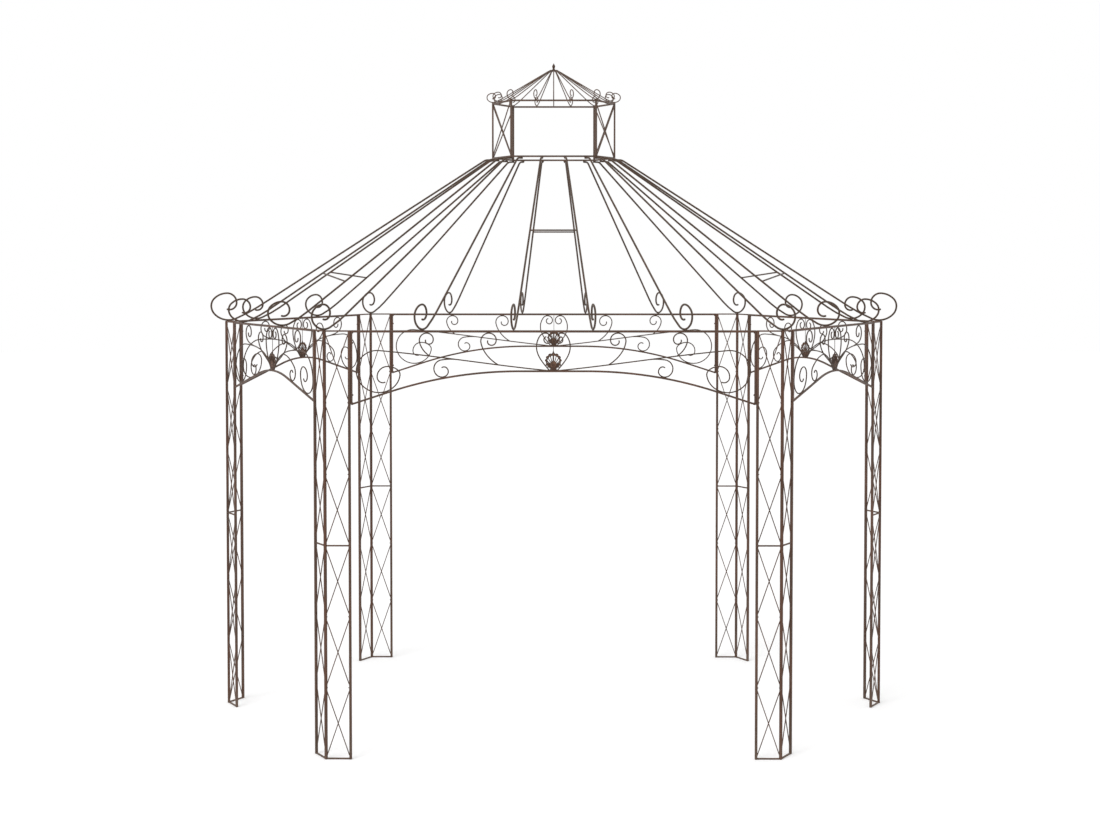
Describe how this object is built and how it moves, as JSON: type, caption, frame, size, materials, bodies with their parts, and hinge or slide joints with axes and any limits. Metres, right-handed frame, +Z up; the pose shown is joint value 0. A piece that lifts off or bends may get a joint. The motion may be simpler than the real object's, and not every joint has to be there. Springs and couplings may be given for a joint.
{
  "type": "garden pavilion",
  "caption": "Open wirework garden pavilion with lattice columns, arched bays with scrollwork, a rafter roof that ends in scrolls, and a small ribbed lantern on top.",
  "frame": {"origin": "on the ground, under the middle of the lantern", "axes": "+X along the long front and back bays, to the right seen from the front; the front faces -Y; +Z up"},
  "size_m": [4.042, 2.6952, 3.778],
  "materials": {
    "post": "satin antique brown powder coat",
    "lattice": "satin antique brown powder coat",
    "frame": "satin antique brown powder coat",
    "scrollwork": "satin antique brown powder coat",
    "ornament": "darker antique brown coat on castings",
    "rafter": "satin antique brown powder coat",
    "lantern": "satin antique brown powder coat"
  },
  "bodies": {
    "root": {"front_left_post": "post", "front_right_post": "post", "right_post": "post", "back_right_post": "post", "back_left_post": "post", "left_post": "post", "front_left_column_front_lattice": "lattice", "front_left_column_left_front_lattice": "lattice", "front_right_column_right_front_lattice": "lattice", "front_right_column_front_lattice": "lattice", "right_column_right_back_lattice": "lattice", "right_column_right_front_lattice": "lattice", "back_right_column_back_lattice": "lattice", "back_right_column_right_back_lattice": "lattice", "back_left_column_left_back_lattice": "lattice", "back_left_column_back_lattice": "lattice", "left_column_left_front_lattice": "lattice", "left_column_left_back_lattice": "lattice", "front_arch_frame": "frame", "right_front_arch_frame": "frame", "right_back_arch_frame": "frame", "back_arch_frame": "frame", "left_back_arch_frame": "frame", "left_front_arch_frame": "frame", "front_scrollwork": "scrollwork", "right_front_scrollwork": "scrollwork", "right_back_scrollwork": "scrollwork", "back_scrollwork": "scrollwork", "left_back_scrollwork": "scrollwork", "left_front_scrollwork": "scrollwork", "front_rafters": "rafter", "right_front_rafters": "rafter", "right_back_rafters": "rafter", "back_rafters": "rafter", "left_back_rafters": "rafter", "left_front_rafters": "rafter", "shell_ornaments": "ornament", "corner_rafters": "rafter", "lantern_base_ring": "lantern", "lantern_posts": "lantern", "lantern_top_ring": "lantern", "lantern_braces": "lantern", "cap_ribs": "rafter", "finial": "ornament"}
  },
  "joints": []
}
